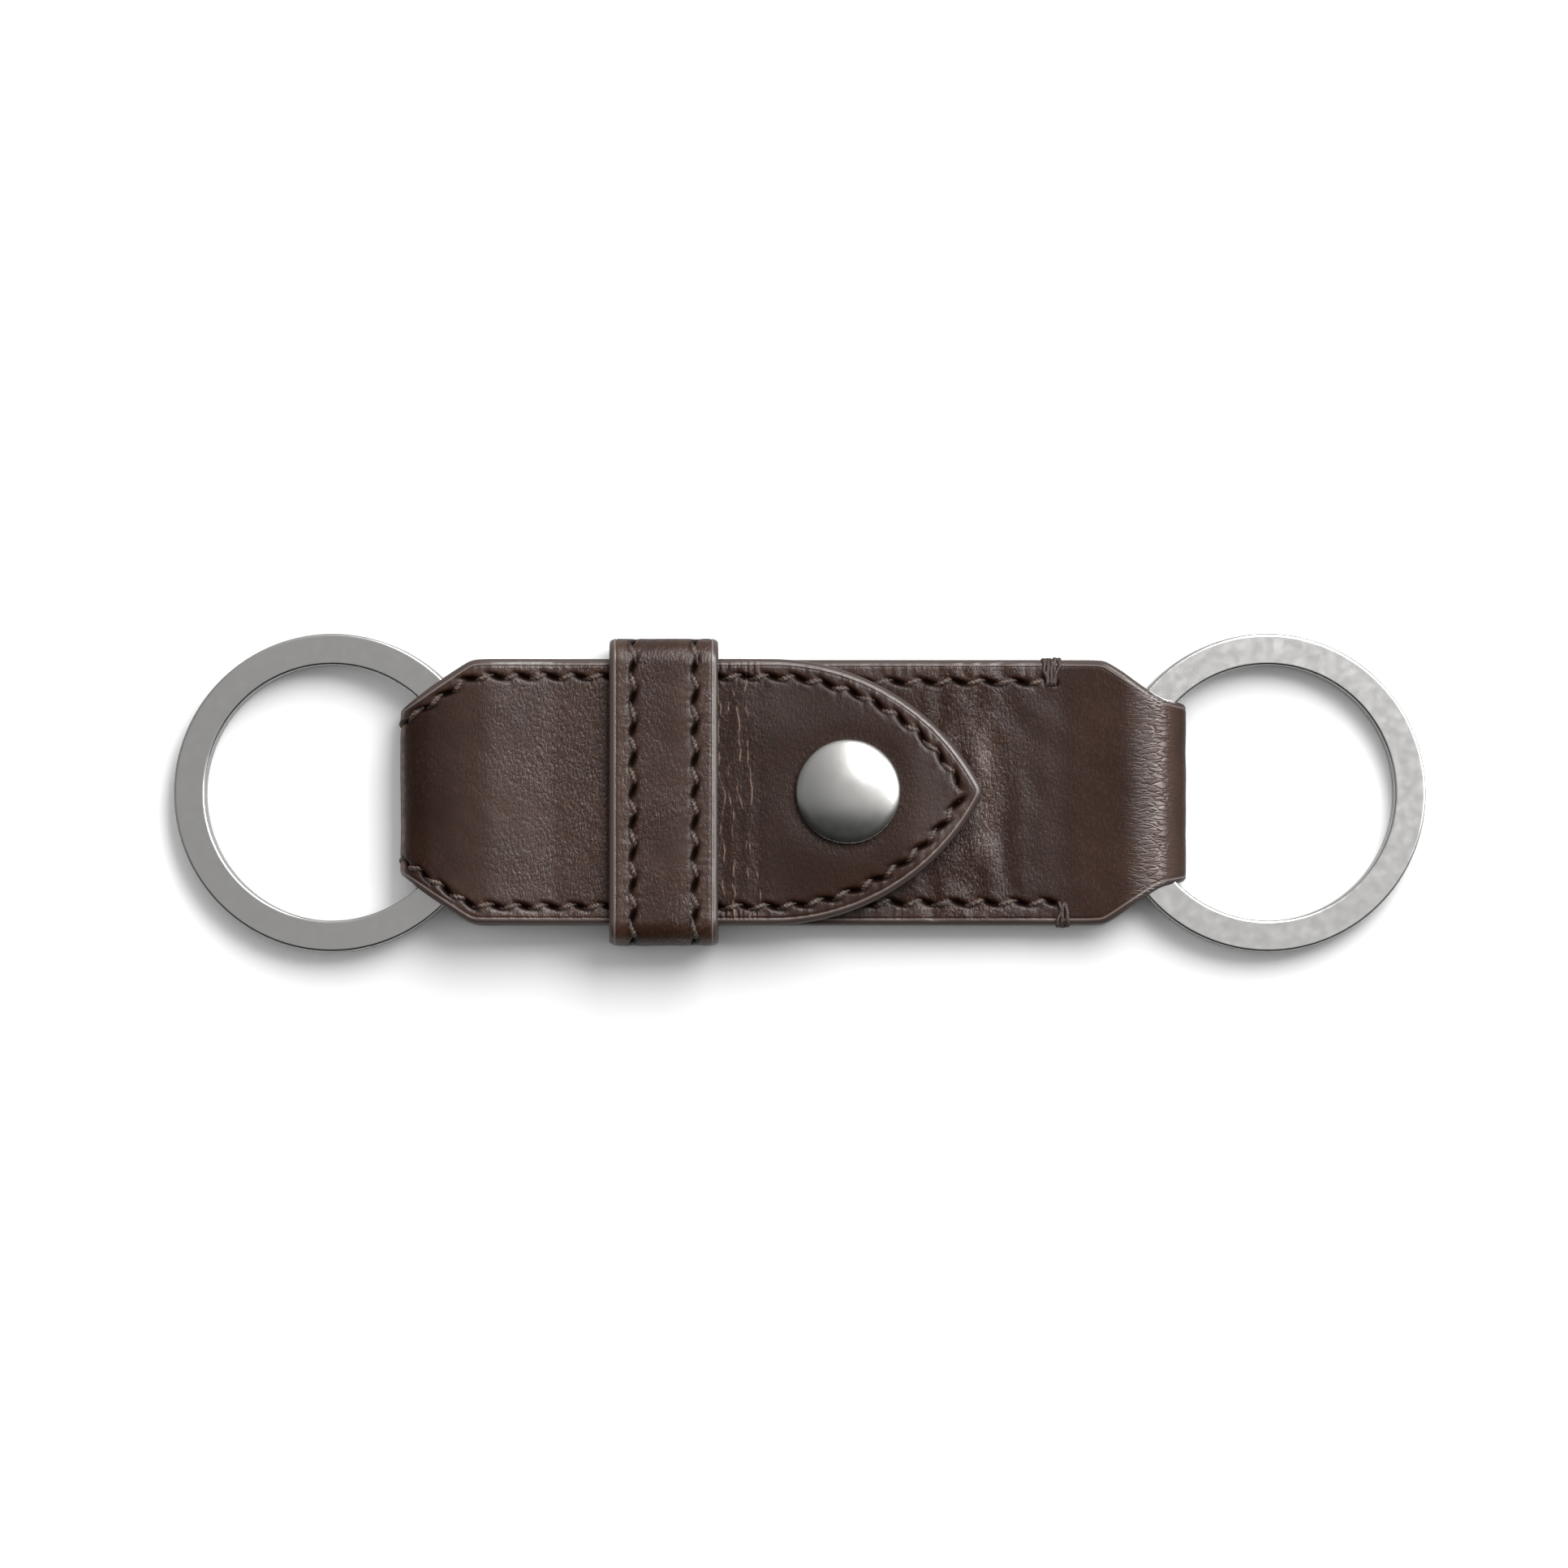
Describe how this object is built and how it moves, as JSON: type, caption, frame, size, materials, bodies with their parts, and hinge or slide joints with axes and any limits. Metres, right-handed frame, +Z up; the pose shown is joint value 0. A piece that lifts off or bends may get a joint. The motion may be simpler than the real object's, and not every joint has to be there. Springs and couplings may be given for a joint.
{
  "type": "valet key fob",
  "caption": "Folded leather strap with a snapped flap, a sliding keeper and a flat split ring in a loop at each end.",
  "frame": {"origin": "on the table, under the middle of the object's outline", "axes": "+X along the strap to the plain ring loop, +Y across the strap, +Z up through the snap cap"},
  "size_m": [0.1181, 0.03, 0.0084],
  "materials": {
    "hide": "semi-aniline, fine grain",
    "lining": "smooth split",
    "thread": "twisted, waxed",
    "cap": "satin nickel",
    "snap": "nickel plated",
    "wire": "spring wire",
    "ring": "satin nickel"
  },
  "bodies": {
    "strap": {"back_leather": "hide", "back_lining": "lining", "front_leather": "hide", "flap_leather": "hide", "flap_lining": "lining", "flap_stitching": "thread", "body_stitching": "thread", "bar_tacks": "thread", "snap_stud": "snap", "snap_post": "snap"},
    "flap_tip": {"flap_tip_leather": "hide", "flap_tip_lining": "lining", "flap_tip_stitching": "thread", "snap_cap": "cap", "snap_socket": "snap", "snap_spring": "wire"},
    "keeper": {"keeper_leather": "hide", "keeper_lining": "lining", "keeper_stitching": "thread"},
    "left_loop": {"left_loop_leather": "hide", "left_loop_lining": "lining"},
    "right_loop": {"right_loop_leather": "hide"},
    "left_ring": {"left_split_ring": "ring"},
    "right_ring": {"right_split_ring": "ring"}
  },
  "joints": [
    {"name": "flap_lift", "type": "hinge", "parent": "strap", "child": "flap_tip", "pos_m": [-0.0052, 0, 0.00605], "axis": [0, -1, 0], "range_deg": [0, 100]},
    {"name": "keeper_slide", "type": "slide", "parent": "strap", "child": "keeper", "axis": [-1, 0, 0], "range_m": [-0.005, 0.005]},
    {"name": "left_loop_flex", "type": "hinge", "parent": "strap", "child": "left_loop", "pos_m": [-0.026, 0, 0.0042], "axis": [0, 1, 0], "range_deg": [-60, 60]},
    {"name": "right_loop_flex", "type": "hinge", "parent": "strap", "child": "right_loop", "pos_m": [0.026, 0, 0.0029], "axis": [0, -1, 0], "range_deg": [-60, 60]},
    {"name": "left_ring_turn", "type": "hinge", "parent": "left_loop", "child": "left_ring", "pos_m": [-0.04395, 0, 0.00109], "axis": [-0.0725, 0, 0.9974], "continuous": true},
    {"name": "right_ring_turn", "type": "hinge", "parent": "right_loop", "child": "right_ring", "pos_m": [0.04395, 0, 0.00085], "axis": [0.0569, 0, 0.9984], "continuous": true}
  ]
}
